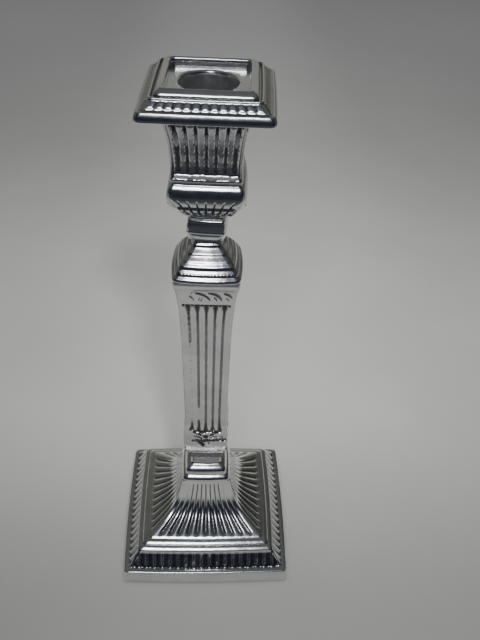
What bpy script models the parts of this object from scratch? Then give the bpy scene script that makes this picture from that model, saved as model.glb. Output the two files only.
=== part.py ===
"""Square neo-classical candlestick: cast metal pieces clamped on one central rod.

The stem is a stack of separate castings (foot, collar, column, shoulder, knop, capital) threaded
on a tie rod, with a nut at each end. The nozzle (drip pan, well frame, candle cup and square
flange) drops into the capital's mouth and lifts straight out. Units are metres, +Z is up, and the
origin is on the surface the foot stands on, under the middle of the foot. The front faces -Y.
"""

import math

import bmesh
import bpy
from mathutils import Vector

MM = 0.001

# ---- Driving dimensions -------------------------------------------------------------------

FOOT_HALF = 45.0 * MM            # half the width of the square foot at its corners
FOOT_BOW = 0.022                 # swell of the foot's faces, as a share of their half-width
CANDLE_BORE = 11.4 * MM          # radius of the candle cup, for a 22 mm candle
ROD_RADIUS = 3.0 * MM            # M6 tie rod
GAP = 0.3 * MM                   # clearance between neighbouring pieces
ROD_HOLE = ROD_RADIUS + GAP

# Each casting can turn a little on the round rod before the nuts are tightened.
COLUMN_TURN = math.radians(-1.75)
KNOP_TURN = math.radians(-6.0)
CAPITAL_TURN = math.radians(-3.05)

# Heights of the seats between the pieces, from the standing surface up.
RIM_UNDERSIDE = 0.6 * MM         # the felt stands this far proud of the foot's metal rim
FOOT_TOP = 45.5 * MM
COLLAR_TOP = 60.6 * MM
COLUMN_TOP = 178.6 * MM
SHOULDER_TOP = 193.8 * MM
KNOP_TOP = 206.9 * MM
CAPITAL_TOP = 256.2 * MM
PAN_DECK = 263.2 * MM            # floor of the well, and the seat of the well frame
FRAME_TOP = 266.4 * MM

CORNER_STEPS = 3                 # facets on each rounded corner
LARGEST_CORNER = 0.8             # of the half-width, so that a small ring stays a square
RING_POINTS = 4 * (CORNER_STEPS + 2)
ARC_STEPS = 3                    # facets on each curved moulding
SWEEP_STEPS = 7                  # facets up the trumpet curve of the foot
TURNED_STEPS = 32                # facets round the turned pieces
SMOOTH_ANGLE = math.radians(35)


# ---- Scene and materials ------------------------------------------------------------------

def clear_scene():
    """Remove every object that the file opened with."""
    for item in list(bpy.data.objects):
        bpy.data.objects.remove(item, do_unlink=True)


def make_material(name, colour, roughness, metallic):
    """Return a plain Principled material."""
    material = bpy.data.materials.new(name)
    material.use_nodes = True
    shader = material.node_tree.nodes["Principled BSDF"]
    shader.inputs["Base Color"].default_value = (*colour, 1.0)
    shader.inputs["Roughness"].default_value = roughness
    shader.inputs["Metallic"].default_value = metallic
    return material


def polished_casting(name):
    """Return the bright polished white metal of one casting."""
    return make_material(name + "_metal", (0.80, 0.80, 0.79), 0.12, 1.0)


def bright_steel(name):
    """Return the zinc-plated steel of one fixing."""
    return make_material(name + "_steel", (0.55, 0.56, 0.58), 0.35, 1.0)


def green_felt(name):
    """Return the green baize under the foot."""
    return make_material(name + "_felt", (0.02, 0.09, 0.05), 0.95, 0.0)


# ---- Outlines: lists of (half-width, height) up one side ----------------------------------

def arc(start, end, bulge, steps=ARC_STEPS):
    """Return the points after start on an arc to end that swells outwards by bulge."""
    start = Vector(start)
    end = Vector(end)
    chord = end - start
    outward = Vector((chord.y, -chord.x)).normalized()
    half_chord = chord.length / 2
    radius = (half_chord ** 2 + bulge ** 2) / (2 * abs(bulge))
    sweep = 2 * math.asin(min(1.0, half_chord / radius))
    side = math.copysign(1.0, bulge)
    centre = (start + end) / 2 - outward * side * (radius - abs(bulge))
    spoke = start - centre
    points = []
    for step in range(1, steps + 1):
        angle = side * sweep * step / steps
        turned = Vector((spoke.x * math.cos(angle) - spoke.y * math.sin(angle),
                         spoke.x * math.sin(angle) + spoke.y * math.cos(angle)))
        points.append(tuple(centre + turned))
    return points


def sweep_curve(start, corner, end, steps=SWEEP_STEPS):
    """Return the points after start on a cubic curve whose two handles meet at corner."""
    points = []
    for step in range(1, steps + 1):
        t = step / steps
        near = (1 - t) ** 3
        far = t ** 3
        middle = 1 - near - far
        points.append(tuple(near * a + middle * b + far * c
                            for a, b, c in zip(start, corner, end)))
    return points


def outline(*stations):
    """Return a profile in metres from stations in millimetres.

    A station is (half-width, height), or (half-width, height, bulge) where the stretch that
    leads to it is an arc that swells outwards by bulge, or inwards where bulge is negative.
    """
    points = [stations[0][:2]]
    for station in stations[1:]:
        if len(station) == 3:
            points += arc(points[-1], station[:2], station[2])
        else:
            points.append(station)
    return [(half * MM, height * MM) for half, height in points]


# ---- Rings and lofts ----------------------------------------------------------------------

def square_ring(half, height, corner, turn=0.0, bow=0.0):
    """Return a level square of points with round corners, anticlockwise from above.

    The middle of each face stands out by bow, as a share of the half-width.
    """
    corner = min(corner, half * LARGEST_CORNER)
    quarter_plan = []
    for step in range(CORNER_STEPS + 1):
        angle = math.radians(90) * step / CORNER_STEPS
        quarter_plan.append((half - corner + corner * math.cos(angle),
                             half - corner + corner * math.sin(angle)))
    quarter_plan.append((0.0, half * (1 + bow)))
    points = []
    for quarter in range(4):
        spin = turn + math.radians(90) * quarter
        for x, y in quarter_plan:
            points.append((x * math.cos(spin) - y * math.sin(spin),
                           x * math.sin(spin) + y * math.cos(spin), height))
    return points


def round_ring(radius, height, turn=0.0):
    """Return a level circle of as many points as a square ring has."""
    points = []
    for step in range(RING_POINTS):
        angle = turn + math.radians(360) * (step + 1) / RING_POINTS
        points.append((radius * math.cos(angle), radius * math.sin(angle), height))
    return points


def square_rings(profile, corner, turn=0.0, bow=0.0):
    """Return one square ring for each point of a profile."""
    return [square_ring(half, height, corner, turn, bow) for half, height in profile]


def finish_object(name, mesh_builder, material):
    """Turn a bmesh into a named object with its faces pointing out and one material."""
    bmesh.ops.recalc_face_normals(mesh_builder, faces=mesh_builder.faces)
    mesh = bpy.data.meshes.new(name)
    mesh_builder.to_mesh(mesh)
    mesh_builder.free()
    mesh.materials.append(material)
    mesh.shade_smooth()
    mesh.set_sharp_from_angle(angle=SMOOTH_ANGLE)
    item = bpy.data.objects.new(name, mesh)
    bpy.context.scene.collection.objects.link(item)
    return item


def bridge(mesh_builder, lower, upper):
    """Join two rings of vertices with a band of quads."""
    count = len(lower)
    for index in range(count):
        after = (index + 1) % count
        mesh_builder.faces.new((lower[index], lower[after], upper[after], upper[index]))


def loft_solid(name, rings, material):
    """Make a solid from a stack of rings, closed by a flat cap at each end."""
    builder = bmesh.new()
    loops = [[builder.verts.new(point) for point in ring] for ring in rings]
    for lower, upper in zip(loops, loops[1:]):
        bridge(builder, lower, upper)
    builder.faces.new(list(reversed(loops[0])))
    builder.faces.new(loops[-1])
    return finish_object(name, builder, material)


def loft_tube(name, outside, inside, material):
    """Make a hollow piece: rings up the outside, then rings down the inside to the start."""
    builder = bmesh.new()
    loops = [[builder.verts.new(point) for point in ring] for ring in outside + inside]
    for lower, upper in zip(loops, loops[1:] + loops[:1]):
        bridge(builder, lower, upper)
    return finish_object(name, builder, material)


# ---- Foot and what closes it underneath ---------------------------------------------------

FOOT_CORNER = 2.5 * MM
FOOT_REBATE = 42.0 * MM          # half-width of the rebate that takes the plate and the felt
FOOT_REBATE_TOP = 2.6 * MM
FOOT_BOSS_SEAT = 36.0 * MM       # underside of the boss, where the washer bears
FELT_THICKNESS = 1.0 * MM
PLATE_THICKNESS = 0.8 * MM


def make_foot():
    """Cast hollow foot: skirt, bead, lobed band, two steps and a trumpet curve up to the stem."""
    outside = outline((FOOT_HALF / MM, RIM_UNDERSIDE / MM), (44.3, 7.0), (43.2, 8.4, 0.3),
                      (41.5, 8.4), (36.7, 16.7), (36.0, 18.0, 0.3), (34.2, 18.3),
                      (33.0, 19.5, 0.3), (30.9, 20.0), (30.5, 20.4))
    trumpet_corner = (16.9 * MM, 30.2 * MM)
    outside += sweep_curve(outside[-1], trumpet_corner, (12.7 * MM, FOOT_TOP))
    inside = outline((10.0, FOOT_BOSS_SEAT / MM), (11.6, 33.6), (16.0, 27.4, -0.8), (26.0, 18.4),
                     (32.0, 14.5), (37.5, 5.0), (38.5, FOOT_REBATE_TOP / MM))
    inside_rings = [round_ring(ROD_HOLE, FOOT_TOP), round_ring(ROD_HOLE, FOOT_BOSS_SEAT)]
    inside_rings += square_rings(inside, FOOT_CORNER)
    inside_rings += square_rings([(FOOT_REBATE, FOOT_REBATE_TOP), (FOOT_REBATE, RIM_UNDERSIDE)],
                                 FOOT_CORNER)
    loft_tube("foot", square_rings(outside, FOOT_CORNER, bow=FOOT_BOW), inside_rings,
              polished_casting("foot"))


def make_square_sheet(name, half, bottom, top, material):
    """Make a flat square sheet with round corners."""
    loft_solid(name, square_rings([(half, bottom), (half, top)], FOOT_CORNER), material)


def make_base_closing():
    """Steel plate that closes the hollow foot, and the felt glued to it."""
    half = FOOT_REBATE - GAP
    plate_top = FOOT_REBATE_TOP - GAP
    make_square_sheet("base_plate", half, plate_top - PLATE_THICKNESS, plate_top,
                      bright_steel("base_plate"))
    make_square_sheet("felt_pad", half, 0.0, FELT_THICKNESS, green_felt("felt_pad"))


# ---- Stem castings ------------------------------------------------------------------------

def make_collar():
    """Moulded collar: a torus, a plain band, a second torus and a narrow neck."""
    bottom = FOOT_TOP + GAP
    outside = outline((12.7, bottom / MM), (12.6, 46.4), (10.9, 48.8, 0.3), (10.7, 51.0),
                      (8.3, 54.2, 0.3), (7.4, 58.6, -0.4), (7.4, COLLAR_TOP / MM))
    inside = [round_ring(ROD_HOLE, COLLAR_TOP), round_ring(ROD_HOLE, bottom)]
    loft_tube("plinth_collar", square_rings(outside, 1.6 * MM), inside,
              polished_casting("plinth_collar"))


COLUMN_CORNER = 1.2 * MM
COLUMN_FLOOR = 66.0 * MM         # top of the solid end that centres the column on the rod
COLUMN_CEILING = 173.0 * MM      # underside of the solid end at the top


def make_column():
    """Cast hollow column: block at the foot, tapering shaft and flared frieze."""
    bottom = COLLAR_TOP + GAP
    outside = outline((9.4, bottom / MM), (9.4, 65.0), (10.0, 65.2), (11.3, 83.0, 0.7),
                      (10.75, 88.0, -0.1), (11.5, 135.0, -0.1), (13.0, 166.0, -0.35),
                      (14.8, 176.0, -0.2), (14.9, COLUMN_TOP / MM))
    inside = outline((8.6, COLUMN_CEILING / MM), (7.9, 135.0), (7.0, 92.0),
                     (6.4, COLUMN_FLOOR / MM))
    inside_rings = [round_ring(ROD_HOLE, COLUMN_TOP, COLUMN_TURN),
                    round_ring(ROD_HOLE, COLUMN_CEILING, COLUMN_TURN)]
    inside_rings += square_rings(inside, COLUMN_CORNER, COLUMN_TURN)
    inside_rings += [round_ring(ROD_HOLE, COLUMN_FLOOR, COLUMN_TURN),
                     round_ring(ROD_HOLE, bottom, COLUMN_TURN)]
    loft_tube("column", square_rings(outside, COLUMN_CORNER, COLUMN_TURN), inside_rings,
              polished_casting("column"))


def make_shoulder():
    """Stepped cap on the column, narrowing to the neck under the knop."""
    bottom = COLUMN_TOP + GAP
    outside = outline((14.2, bottom / MM), (13.8, 182.4, 0.9), (13.4, 182.9), (11.2, 186.3, 0.6),
                      (9.6, 187.7, 0.3), (9.2, 188.0), (8.0, 190.0, 0.4),
                      (6.0, SHOULDER_TOP / MM, -0.6))
    inside = [round_ring(ROD_HOLE, SHOULDER_TOP, COLUMN_TURN),
              round_ring(ROD_HOLE, bottom, COLUMN_TURN)]
    loft_tube("shoulder_cap", square_rings(outside, 1.4 * MM, COLUMN_TURN), inside,
              polished_casting("shoulder_cap"))


def make_knop():
    """Small faceted knop between the shoulder and the capital."""
    bottom = SHOULDER_TOP + GAP
    outside = outline((6.0, bottom / MM), (8.1, 200.4, 0.3), (8.1, 201.0),
                      (6.8, KNOP_TOP / MM, 0.3))
    inside = [round_ring(ROD_HOLE, KNOP_TOP, KNOP_TURN), round_ring(ROD_HOLE, bottom, KNOP_TURN)]
    loft_tube("knop", square_rings(outside, 2.0 * MM, KNOP_TURN), inside, polished_casting("knop"))


CAPITAL_CORNER = 1.6 * MM
CAPITAL_FLOOR = 215.6 * MM       # inside floor, where the upper nut bears
MOUTH_HALF = 14.2 * MM           # half-width of the square mouth that takes the nozzle
MOUTH_DEPTH = 10.2 * MM


def make_capital():
    """Hollow vase: ring, bowl, torus band and flaring square cup with an open mouth."""
    bottom = KNOP_TOP + GAP
    outside = outline((6.3, bottom / MM), (6.5, 209.0, 0.5), (7.6, 209.4), (14.2, 217.6, 0.7),
                      (15.3, 220.2), (14.9, 226.4, 0.5), (14.5, 227.6), (14.6, 238.0, -0.2),
                      (18.0, CAPITAL_TOP / MM, -0.6))
    mouth_floor = CAPITAL_TOP - MOUTH_DEPTH
    inside = [(MOUTH_HALF, CAPITAL_TOP), (MOUTH_HALF, mouth_floor)]
    inside += outline((13.1, 241.0), (13.0, 224.0), (12.4, 219.6), (8.6, CAPITAL_FLOOR / MM))
    inside_rings = square_rings(inside, CAPITAL_CORNER, CAPITAL_TURN)
    inside_rings += [round_ring(ROD_HOLE, CAPITAL_FLOOR, CAPITAL_TURN),
                     round_ring(ROD_HOLE, bottom, CAPITAL_TURN)]
    loft_tube("capital", square_rings(outside, CAPITAL_CORNER, CAPITAL_TURN), inside_rings,
              polished_casting("capital"))


# ---- Nozzle: the part that lifts out ------------------------------------------------------

PAN_CORNER = 2.0 * MM
PAN_RIM_BOTTOM = 256.4 * MM
PAN_RIM_INNER_HALF = 24.4 * MM
PAN_CEILING = 258.6 * MM         # underside of the pan inside its turned-down rim
MOUTH_LIP = 0.9 * MM             # rounding of the hole's edge, outwards and down
BOSS_HALF = 17.6 * MM            # half-width of the seat that rests on the capital
BOSS_UNDERSIDE = CAPITAL_TOP + GAP
CUP_WALL = 0.6 * MM
CUP_FLOOR = 234.0 * MM
CUP_FLOOR_THICKNESS = 0.9 * MM
CUP_FOOT_BEVEL = 1.0 * MM
CUP_TOP = 261.6 * MM
FLANGE_HALF = MOUTH_HALF - GAP
FLANGE_INNER_HALF = 12.6 * MM
FLANGE_BOTTOM = 247.2 * MM


def make_drip_pan():
    """Square pan: rounded rim, lobed border, flat deck and the round mouth of the candle cup."""
    cup_seat = CANDLE_BORE + CUP_WALL + GAP
    outside = outline((25.8, PAN_RIM_BOTTOM / MM), (26.1, 256.8), (25.4, 259.7, 0.2),
                      (24.6, 260.4, 0.15), (23.7, 260.6), (21.3, 263.6), (20.5, 264.2, 0.2),
                      (20.1, 264.1), (19.8, PAN_DECK / MM))
    lip = [round_ring(CANDLE_BORE + MOUTH_LIP, PAN_DECK, CAPITAL_TURN),
           round_ring(CANDLE_BORE + MOUTH_LIP / 4, PAN_DECK - MOUTH_LIP / 3, CAPITAL_TURN),
           round_ring(CANDLE_BORE, PAN_DECK - MOUTH_LIP, CAPITAL_TURN),
           round_ring(CANDLE_BORE, CUP_TOP + GAP, CAPITAL_TURN)]
    seat = [round_ring(cup_seat, CUP_TOP + GAP, CAPITAL_TURN),
            round_ring(cup_seat, BOSS_UNDERSIDE, CAPITAL_TURN)]
    under = square_rings([(BOSS_HALF, BOSS_UNDERSIDE), (BOSS_HALF, PAN_CEILING),
                          (PAN_RIM_INNER_HALF, PAN_CEILING), (PAN_RIM_INNER_HALF, PAN_RIM_BOTTOM)],
                         PAN_CORNER, CAPITAL_TURN)
    loft_tube("drip_pan", square_rings(outside, PAN_CORNER, CAPITAL_TURN), lip + seat + under,
              polished_casting("drip_pan"))


def make_well_frame():
    """Raised square frame with a rounded crown, standing on the deck round the well."""
    seat = (PAN_DECK + GAP) / MM
    crown = FRAME_TOP / MM
    outside = outline((19.3, seat), (19.3, crown - 1.8), (17.4, crown, 0.5))
    inside = outline((16.8, crown), (15.8, crown - 0.9, 0.2), (15.8, seat))
    loft_tube("well_frame", square_rings(outside, PAN_CORNER, CAPITAL_TURN),
              square_rings(inside, PAN_CORNER, CAPITAL_TURN), polished_casting("well_frame"))


def make_turned_cup(name, profile, material):
    """Spin a (radius, height) profile, from the axis round and back to it, into a solid."""
    builder = bmesh.new()
    spine = [builder.verts.new((radius, 0.0, height)) for radius, height in profile]
    edges = [builder.edges.new(pair) for pair in zip(spine, spine[1:])]
    bmesh.ops.spin(builder, geom=spine + edges, cent=(0, 0, 0), axis=(0, 0, 1),
                   angle=math.radians(360), steps=TURNED_STEPS, use_merge=True)
    bmesh.ops.remove_doubles(builder, verts=builder.verts, dist=0.00001)
    return finish_object(name, builder, material)


def make_candle_cup():
    """Spun cup under the pan's mouth that grips the candle."""
    outer = CANDLE_BORE + CUP_WALL
    underside = CUP_FLOOR - CUP_FLOOR_THICKNESS
    profile = [(0.0, underside), (outer - CUP_FOOT_BEVEL, underside),
               (outer, underside + CUP_FOOT_BEVEL),
               (outer, CUP_TOP), (CANDLE_BORE, CUP_TOP), (CANDLE_BORE, CUP_FLOOR),
               (0.0, CUP_FLOOR)]
    make_turned_cup("candle_cup", profile, polished_casting("candle_cup"))


def make_flange():
    """Square tube under the pan that fits the capital's mouth and keeps the pan square to it."""
    top = BOSS_UNDERSIDE - GAP
    heights = (FLANGE_BOTTOM, top)
    outside = square_rings([(FLANGE_HALF, height) for height in heights], CAPITAL_CORNER,
                           CAPITAL_TURN)
    inside = square_rings([(FLANGE_INNER_HALF, height) for height in reversed(heights)],
                          CAPITAL_CORNER, CAPITAL_TURN)
    loft_tube("nozzle_flange", outside, inside, polished_casting("nozzle_flange"))


# ---- Tie rod and its fixings --------------------------------------------------------------

WASHER_RADIUS = 7.0 * MM
WASHER_THICKNESS = 1.2 * MM
NUT_ACROSS_FLATS = 10.0 * MM
NUT_HEIGHT = 5.0 * MM
NUT_CHAMFER = 0.5 * MM
ROD_OVERHANG = 1.6 * MM          # thread that shows past each nut
ROD_CHAMFER = 0.6 * MM
LOCK_WASHER_RADIUS = 5.4 * MM
LOCK_WASHER_THICKNESS = 1.5 * MM
LOCK_WASHER_SPLIT = math.radians(16)


def polygon_ring(radius, height, sides):
    """Return a level regular polygon of points, anticlockwise from above."""
    points = []
    for step in range(sides):
        angle = math.radians(360) * (step + 0.5) / sides
        points.append((radius * math.cos(angle), radius * math.sin(angle), height))
    return points


def make_washer(name, bottom, top):
    """Make a flat round washer on the rod."""
    outside = [polygon_ring(WASHER_RADIUS, height, TURNED_STEPS) for height in (bottom, top)]
    inside = [polygon_ring(ROD_HOLE, height, TURNED_STEPS) for height in (top, bottom)]
    loft_tube(name, outside, inside, bright_steel(name))


def make_nut(name, bottom, top):
    """Make a hexagon nut by cutting the rod's bore through a chamfered prism."""
    corner = NUT_ACROSS_FLATS / (2 * math.cos(math.radians(30)))
    levels = [(corner - NUT_CHAMFER, bottom), (corner, bottom + NUT_CHAMFER),
              (corner, top - NUT_CHAMFER), (corner - NUT_CHAMFER, top)]
    nut = loft_solid(name, [polygon_ring(radius, height, 6) for radius, height in levels],
                     bright_steel(name))
    bore = loft_solid(name + "_bore_cutter",
                      [polygon_ring(ROD_HOLE, height, TURNED_STEPS)
                       for height in (bottom - NUT_CHAMFER, top + NUT_CHAMFER)],
                      nut.data.materials[0])
    bore.hide_render = True
    bore.display_type = "WIRE"
    cut = nut.modifiers.new("rod_bore", "BOOLEAN")
    cut.operation = "DIFFERENCE"
    cut.object = bore


def make_lock_washer(name, bottom, top):
    """Make a split spring washer: an open ring of square section round the rod."""
    builder = bmesh.new()
    sections = []
    open_angle = math.radians(360) - LOCK_WASHER_SPLIT
    for step in range(TURNED_STEPS + 1):
        angle = LOCK_WASHER_SPLIT / 2 + open_angle * step / TURNED_STEPS
        across = Vector((math.cos(angle), math.sin(angle), 0.0))
        corners = [(ROD_HOLE, bottom), (LOCK_WASHER_RADIUS, bottom), (LOCK_WASHER_RADIUS, top),
                   (ROD_HOLE, top)]
        sections.append([builder.verts.new(across * radius + Vector((0, 0, height)))
                         for radius, height in corners])
    for near, far in zip(sections, sections[1:]):
        bridge(builder, near, far)
    builder.faces.new(sections[0])
    builder.faces.new(list(reversed(sections[-1])))
    finish_object(name, builder, bright_steel(name))


def make_fixings():
    """Tie rod with a washer and nut in the capital, and washers and a nut inside the foot."""
    upper_washer_bottom = CAPITAL_FLOOR + GAP
    upper_washer_top = upper_washer_bottom + WASHER_THICKNESS
    upper_nut_bottom = upper_washer_top + GAP
    upper_nut_top = upper_nut_bottom + NUT_HEIGHT
    make_washer("upper_washer", upper_washer_bottom, upper_washer_top)
    make_nut("upper_nut", upper_nut_bottom, upper_nut_top)
    lower_washer_top = FOOT_BOSS_SEAT - GAP
    lower_washer_bottom = lower_washer_top - WASHER_THICKNESS
    lock_top = lower_washer_bottom - GAP
    lock_bottom = lock_top - LOCK_WASHER_THICKNESS
    lower_nut_top = lock_bottom - GAP
    lower_nut_bottom = lower_nut_top - NUT_HEIGHT
    make_washer("foot_washer", lower_washer_bottom, lower_washer_top)
    make_lock_washer("foot_lock_washer", lock_bottom, lock_top)
    make_nut("foot_nut", lower_nut_bottom, lower_nut_top)
    bottom = lower_nut_bottom - ROD_OVERHANG
    top = upper_nut_top + ROD_OVERHANG
    levels = [(ROD_RADIUS - ROD_CHAMFER, bottom), (ROD_RADIUS, bottom + ROD_CHAMFER),
              (ROD_RADIUS, top - ROD_CHAMFER), (ROD_RADIUS - ROD_CHAMFER, top)]
    loft_solid("tie_rod", [polygon_ring(radius, height, TURNED_STEPS) for radius, height in levels],
               bright_steel("tie_rod"))


def main():
    clear_scene()
    make_foot()
    make_base_closing()
    make_collar()
    make_column()
    make_shoulder()
    make_knop()
    make_capital()
    make_drip_pan()
    make_well_frame()
    make_candle_cup()
    make_flange()
    make_fixings()


main()
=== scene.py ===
"""Looks of a square neo-classical candlestick in polished cast metal.

Every visible casting is rebuilt as a fine square-section loft that carries the flutes, lobes,
grooves and leaf work in its geometry, in the places that the CAD frame gives.
"""
import math

import bpy
import numpy as np
from mathutils import Matrix, Vector, noise


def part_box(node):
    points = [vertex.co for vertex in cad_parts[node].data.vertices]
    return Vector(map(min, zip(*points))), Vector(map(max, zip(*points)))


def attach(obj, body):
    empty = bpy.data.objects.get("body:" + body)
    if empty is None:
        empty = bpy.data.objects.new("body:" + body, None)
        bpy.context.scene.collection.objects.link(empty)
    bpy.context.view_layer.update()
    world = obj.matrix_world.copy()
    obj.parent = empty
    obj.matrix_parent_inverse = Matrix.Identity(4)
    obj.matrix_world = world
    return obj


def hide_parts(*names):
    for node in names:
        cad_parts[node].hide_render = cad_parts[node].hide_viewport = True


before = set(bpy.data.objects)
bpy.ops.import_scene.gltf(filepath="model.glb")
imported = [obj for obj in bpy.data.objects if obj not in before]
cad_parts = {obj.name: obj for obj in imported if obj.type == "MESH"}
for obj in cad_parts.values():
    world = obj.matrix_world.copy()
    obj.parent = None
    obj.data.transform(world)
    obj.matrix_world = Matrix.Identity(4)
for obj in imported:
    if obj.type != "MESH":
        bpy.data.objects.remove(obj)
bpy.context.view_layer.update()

MM = 0.001
STICK = "candlestick"
NOZZLE = "nozzle"

# Turns of the castings on the round rod, as in the CAD model.
COLUMN_TURN = math.radians(-1.75)
KNOP_TURN = math.radians(-6.0)
CAPITAL_TURN = math.radians(-3.05)

SEAM = 0.04                      # open joint between two castings, in mm
GAP = 0.3                        # clearance that the CAD keeps between two pieces, in mm
FACES = 4
CORNER_STEPS = 8
SHARP_ANGLE = math.radians(42)   # bends sharper than this stay hard edges


def low(node):
    """Height of a CAD node's underside in mm."""
    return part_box(node)[0].z / MM


def high(node):
    """Height of a CAD node's top in mm."""
    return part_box(node)[1].z / MM


def half_width(node):
    """Half of a CAD node's width in mm."""
    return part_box(node)[1].x / MM


def rod_bore():
    """Radius in mm of the hole that the castings leave for the rod."""
    return half_width("tie_rod") + GAP


def add_object(name, data):
    """Put a new object in the scene."""
    item = bpy.data.objects.new(name, data)
    bpy.context.scene.collection.objects.link(item)
    return item


# ---- Outlines --------------------------------------------------------

def smoothstep(value, start, end):
    """Rise smoothly from 0 at start to 1 at end."""
    t = np.clip((value - start) / (end - start), 0.0, 1.0)
    return t * t * (3.0 - 2.0 * t)


def hump(value, centre, spread):
    """Round hump: 1 where value is centre, down to 0 at spread to each side."""
    return np.clip(1 - ((value - centre) / spread) ** 2, 0, 1)


def arc(start, end, bulge, steps=24):
    """Points after start on an arc to end that swells outwards by bulge."""
    start, end = np.array(start), np.array(end)
    chord = end - start
    length = np.hypot(*chord)
    outward = np.array((chord[1], -chord[0])) / length
    radius = (length * length / 4 + bulge * bulge) / (2 * abs(bulge))
    side = math.copysign(1.0, bulge)
    sweep = 2 * math.asin(min(1.0, length / 2 / radius))
    centre = (start + end) / 2 - outward * side * (radius - abs(bulge))
    spoke = start - centre
    angles = side * sweep * np.arange(1, steps + 1) / steps
    x = centre[0] + spoke[0] * np.cos(angles) - spoke[1] * np.sin(angles)
    z = centre[1] + spoke[0] * np.sin(angles) + spoke[1] * np.cos(angles)
    return list(zip(x, z))


def sweep_curve(start, corner, end, steps=40):
    """Points after start on a cubic whose two handles meet at corner."""
    points = []
    for step in range(1, steps + 1):
        t = step / steps
        near, far = (1 - t) ** 3, t ** 3
        points.append(tuple(near * a + (1 - near - far) * b + far * c
                            for a, b, c in zip(start, corner, end)))
    return points


def outline(*stations):
    """Profile from stations (half-width, height) or (half-width, height, bulge), in mm."""
    points = [stations[0][:2]]
    for station in stations[1:]:
        if len(station) == 3:
            points += arc(points[-1], station[:2], station[2])
        else:
            points.append(station)
    return points


def rolled(foot_half, stations, steps=12):
    """Profile climbing through stations (height, tilt), tilt being how far it faces up.

    Tilts are in degrees and change evenly between stations; the profile starts at foot_half.
    """
    points = [(foot_half, stations[0][0])]
    for (low_z, low_tilt), (high_z, high_tilt) in zip(stations, stations[1:]):
        rise = (high_z - low_z) / steps
        for step in range(steps):
            tilt = low_tilt + (high_tilt - low_tilt) * (step + 0.5) / steps
            half, height = points[-1]
            points.append((half - rise * math.tan(math.radians(tilt)), height + rise))
    return points


SAMPLE = 0.04                    # mm between the samples that a profile is smoothed on
BEND_PER_ROW = 0.16              # radians that a profile may turn from one row to the next


def polished(points, soften, fine=0.1, coarse=0.7):
    """Round the edges of a profile as polishing does, with rows close together on curves."""
    points = np.array(points, float)
    runs = np.hypot(*np.diff(points, axis=0).T)
    along = np.concatenate(([0.0], np.cumsum(runs)))
    even = np.linspace(0.0, along[-1], int(along[-1] / SAMPLE))
    dense = np.stack([np.interp(even, along, points[:, k]) for k in range(2)], axis=1)
    reach = int(3 * soften / SAMPLE)
    kernel = np.exp(-0.5 * (np.arange(-reach, reach + 1) * SAMPLE / soften) ** 2)
    kernel /= kernel.sum()
    smooth = np.empty_like(dense)
    for k in range(2):
        first, last = dense[0, k], dense[-1, k]
        padded = np.concatenate((2 * first - dense[reach:0:-1, k], dense[:, k],
                                 2 * last - dense[-2:-reach - 2:-1, k]))
        smooth[:, k] = np.convolve(padded, kernel, mode="valid")
    tangent = np.gradient(smooth, axis=0)
    angle = np.unwrap(np.arctan2(tangent[:, 1], tangent[:, 0]))
    bend = np.abs(np.gradient(angle, even))
    spacing = np.clip(BEND_PER_ROW / np.maximum(bend, 1e-6), fine, coarse)
    rows = np.concatenate(([0.0], np.cumsum(np.diff(even) / spacing[1:])))
    chosen = np.linspace(0.0, rows[-1], int(rows[-1]) + 2)
    at = np.interp(chosen, rows, even)
    return np.stack([np.interp(at, even, smooth[:, k]) for k in range(2)], axis=1)


# ---- Square lofts ----------------------------------------------------

def turned(x, y, angle):
    """Turn points about the stem's axis."""
    c, s = math.cos(angle), math.sin(angle)
    return x * c - y * s, x * s + y * c


def square_plan(share, flats):
    """Plan of rings whose corner radius is a share of the half-width, one share per ring.

    Gives, for a half-width of 1, the x and y of every point, its outward direction, its place
    across its face from -1 to 1, and the number of its face: 0 front, 1 right, 2 back, 3 left.
    """
    share = np.asarray(share, float)[:, None]
    u = np.linspace(-1.0, 1.0, flats)[None, :]
    turn = (np.arange(1, CORNER_STEPS) / CORNER_STEPS * math.pi / 2)[None, :]
    across = np.concatenate((u * (1 - share), (1 - share) + share * np.sin(turn)), axis=1)
    out = np.concatenate((np.ones_like(share) * np.ones_like(u),
                          (1 - share) + share * np.cos(turn)), axis=1)
    lean = np.concatenate((np.zeros_like(u), turn), axis=1) * np.ones_like(share)
    sides = []
    for face in range(FACES):
        angle = face * math.pi / 2
        sides.append((*turned(across, -out, angle), *turned(np.sin(lean), -np.cos(lean), angle),
                      across, np.full_like(across, face)))
    return [np.concatenate(parts, axis=1) for parts in zip(*sides)]


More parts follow.
